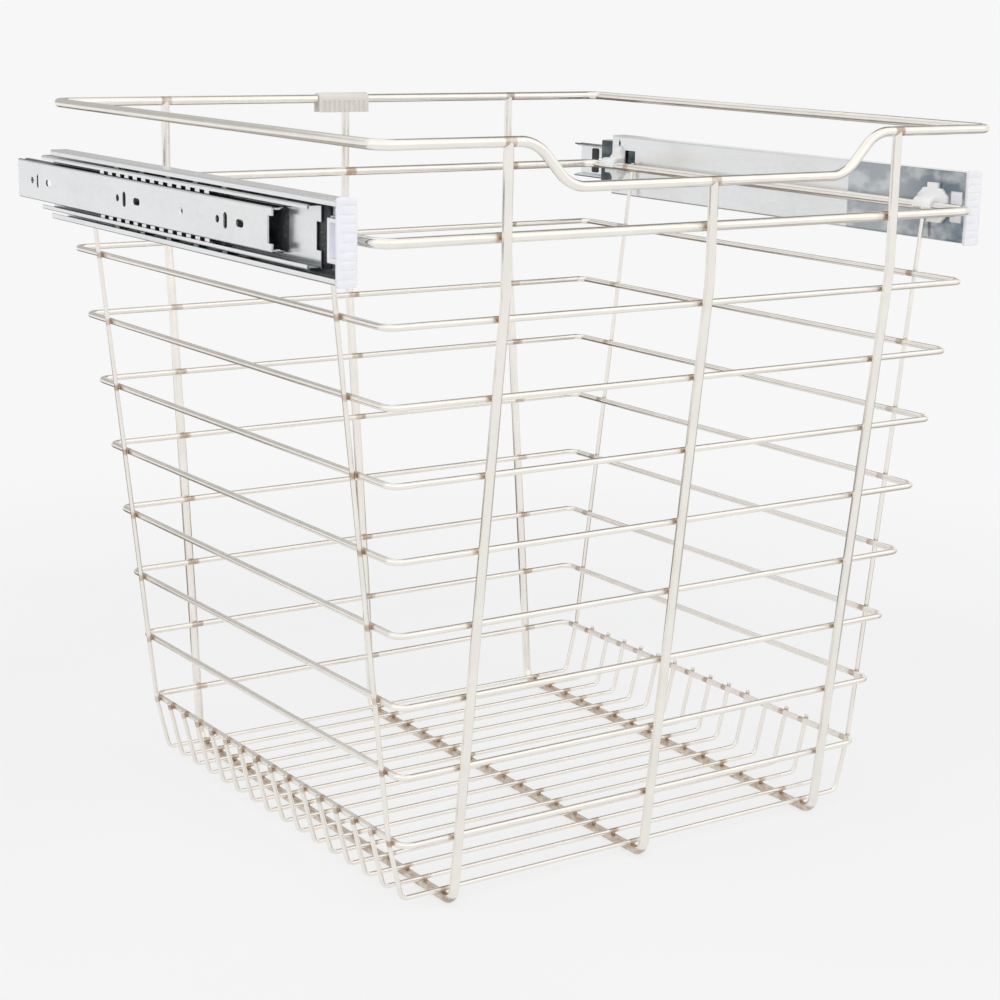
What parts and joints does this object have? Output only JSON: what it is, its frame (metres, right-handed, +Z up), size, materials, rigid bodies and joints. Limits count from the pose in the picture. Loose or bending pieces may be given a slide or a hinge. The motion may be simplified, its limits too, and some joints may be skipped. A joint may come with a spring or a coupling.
{
  "type": "pull-out wire basket",
  "caption": "Deep tapered wire basket with a dipped front rim, hung by clips between two full-extension ball-bearing slides for a cabinet.",
  "frame": {"origin": "bottom centre of the whole part's box in the pictured pose, on the surface that the frame bars stand on", "axes": "+Z up; -Y is the basket's front with the dipped rim; +X is its right side"},
  "size_m": [0.4792, 0.4541, 0.4614],
  "materials": {
    "nickel_wire": "satin nickel over steel wire, faintly warm",
    "zinc_steel": "bright zinc plate over rolled sheet",
    "cage_steel": "zinc-plated sheet, greased",
    "ball_steel": "polished bearing balls",
    "clip_plastic": "white moulded nylon",
    "cap_plastic": "translucent pale violet-white moulding"
  },
  "bodies": {
    "basket": {"rim_wire": "nickel_wire", "hanger_ring": "nickel_wire", "ring_wire_1": "nickel_wire", "ring_wire_2": "nickel_wire", "ring_wire_3": "nickel_wire", "ring_wire_4": "nickel_wire", "ring_wire_5": "nickel_wire", "ring_wire_6": "nickel_wire", "ring_wire_7": "nickel_wire", "ring_wire_8": "nickel_wire", "frame_bar_left": "nickel_wire", "frame_bar_centre": "nickel_wire", "frame_bar_right": "nickel_wire", "cross_wire_1": "nickel_wire", "cross_wire_2": "nickel_wire", "cross_wire_3": "nickel_wire", "cross_wire_4": "nickel_wire", "cross_wire_5": "nickel_wire", "cross_wire_6": "nickel_wire", "cross_wire_7": "nickel_wire", "cross_wire_8": "nickel_wire", "cross_wire_9": "nickel_wire", "cross_wire_10": "nickel_wire", "cross_wire_11": "nickel_wire", "cross_wire_12": "nickel_wire", "cross_wire_13": "nickel_wire", "cross_wire_14": "nickel_wire", "cross_wire_15": "nickel_wire", "cross_wire_16": "nickel_wire", "rim_clip": "clip_plastic", "left_wide_member": "zinc_steel", "left_end_cap": "cap_plastic", "left_front_clip": "clip_plastic", "left_rear_clip": "clip_plastic", "right_wide_member": "zinc_steel", "right_end_cap": "cap_plastic", "right_front_clip": "clip_plastic", "right_rear_clip": "clip_plastic"},
    "left_outer_cage": {"left_outer_retainer": "cage_steel", "left_outer_balls": "ball_steel"},
    "left_middle": {"left_middle_member": "zinc_steel"},
    "left_inner_cage": {"left_inner_retainer": "cage_steel", "left_inner_balls": "ball_steel"},
    "left_panel": {"left_panel_member": "zinc_steel"},
    "right_outer_cage": {"right_outer_retainer": "cage_steel", "right_outer_balls": "ball_steel"},
    "right_middle": {"right_middle_member": "zinc_steel"},
    "right_inner_cage": {"right_inner_retainer": "cage_steel", "right_inner_balls": "ball_steel"},
    "right_panel": {"right_panel_member": "zinc_steel"}
  },
  "joints": [
    {"name": "left_middle_slide", "type": "slide", "parent": "basket", "child": "left_middle", "axis": [0, 1, 0], "range_m": [-0.016, 0.164]},
    {"name": "left_outer_cage_roll", "type": "slide", "parent": "basket", "child": "left_outer_cage", "axis": [0, 1, 0], "range_m": [-0.008, 0.082]},
    {"name": "left_panel_slide", "type": "slide", "parent": "left_middle", "child": "left_panel", "axis": [0, 1, 0], "range_m": [-0.039, 0.138]},
    {"name": "left_inner_cage_roll", "type": "slide", "parent": "left_middle", "child": "left_inner_cage", "axis": [0, 1, 0], "range_m": [-0.0195, 0.069]},
    {"name": "right_middle_slide", "type": "slide", "parent": "basket", "child": "right_middle", "axis": [0, 1, 0], "range_m": [-0.016, 0.164]},
    {"name": "right_outer_cage_roll", "type": "slide", "parent": "basket", "child": "right_outer_cage", "axis": [0, 1, 0], "range_m": [-0.008, 0.082]},
    {"name": "right_panel_slide", "type": "slide", "parent": "right_middle", "child": "right_panel", "axis": [0, 1, 0], "range_m": [-0.039, 0.138]},
    {"name": "right_inner_cage_roll", "type": "slide", "parent": "right_middle", "child": "right_inner_cage", "axis": [0, 1, 0], "range_m": [-0.0195, 0.069]}
  ],
  "couplings": [
    {"joint": "left_outer_cage_roll", "follows": "left_middle_slide", "ratio": 0.5},
    {"joint": "left_inner_cage_roll", "follows": "left_panel_slide", "ratio": 0.5},
    {"joint": "right_outer_cage_roll", "follows": "left_middle_slide", "ratio": 0.5},
    {"joint": "right_inner_cage_roll", "follows": "left_panel_slide", "ratio": 0.5},
    {"joint": "right_middle_slide", "follows": "left_middle_slide", "ratio": 1},
    {"joint": "right_panel_slide", "follows": "left_panel_slide", "ratio": 1}
  ]
}
